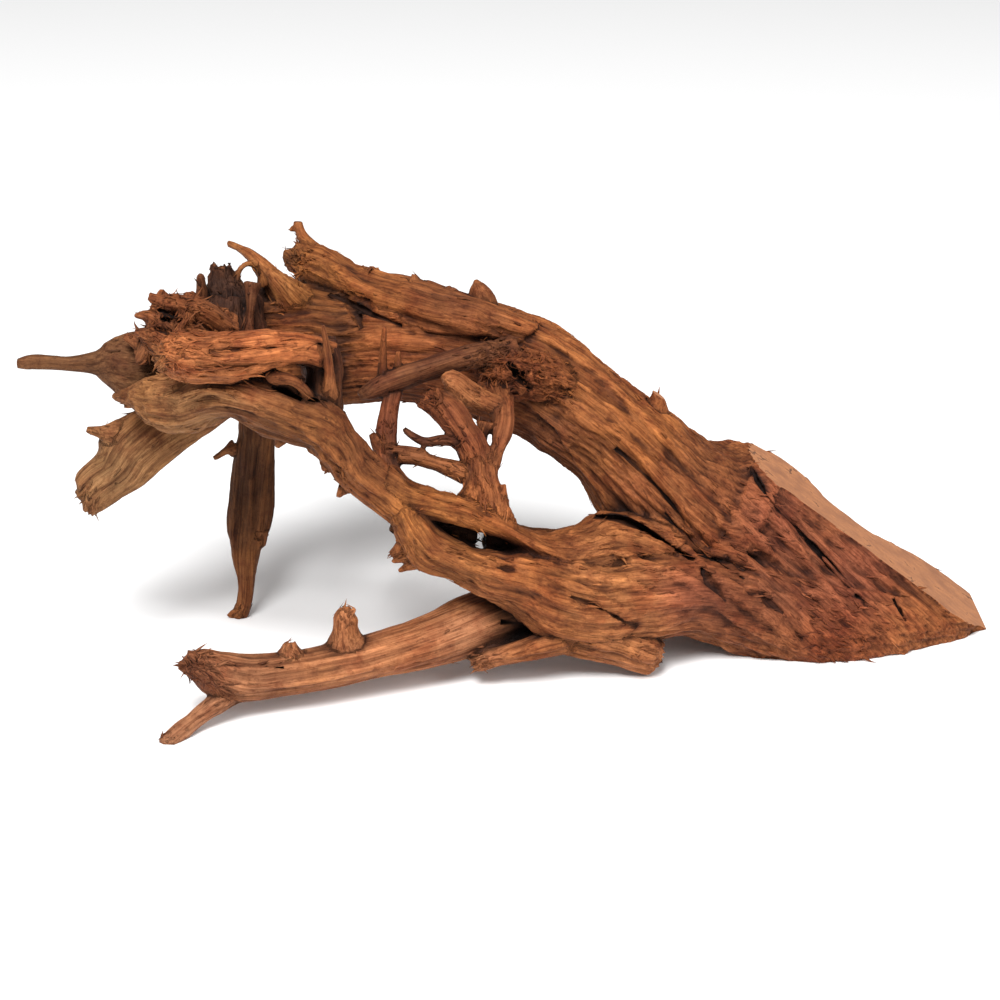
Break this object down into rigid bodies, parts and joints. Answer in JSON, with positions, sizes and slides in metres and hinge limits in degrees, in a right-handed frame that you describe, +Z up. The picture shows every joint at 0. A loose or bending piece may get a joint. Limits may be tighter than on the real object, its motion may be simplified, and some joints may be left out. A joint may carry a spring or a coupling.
{
  "type": "malaysian driftwood",
  "caption": "Branched piece of dry driftwood with an arching trunk, torn crown, front limb and flat sawn base, for an aquarium or terrarium.",
  "frame": {"origin": "middle of the piece's bounding box, on the surface that it stands on", "axes": "+Z up, +X along the length from the torn crown to the sawn tip, -Y towards the side that the picture shows"},
  "size_m": [0.635, 0.279, 0.254],
  "materials": {
    "bare_wood": "dry, dull, reddish brown with a fluted grain"
  },
  "bodies": {
    "root": {"driftwood": "bare_wood"}
  },
  "joints": []
}
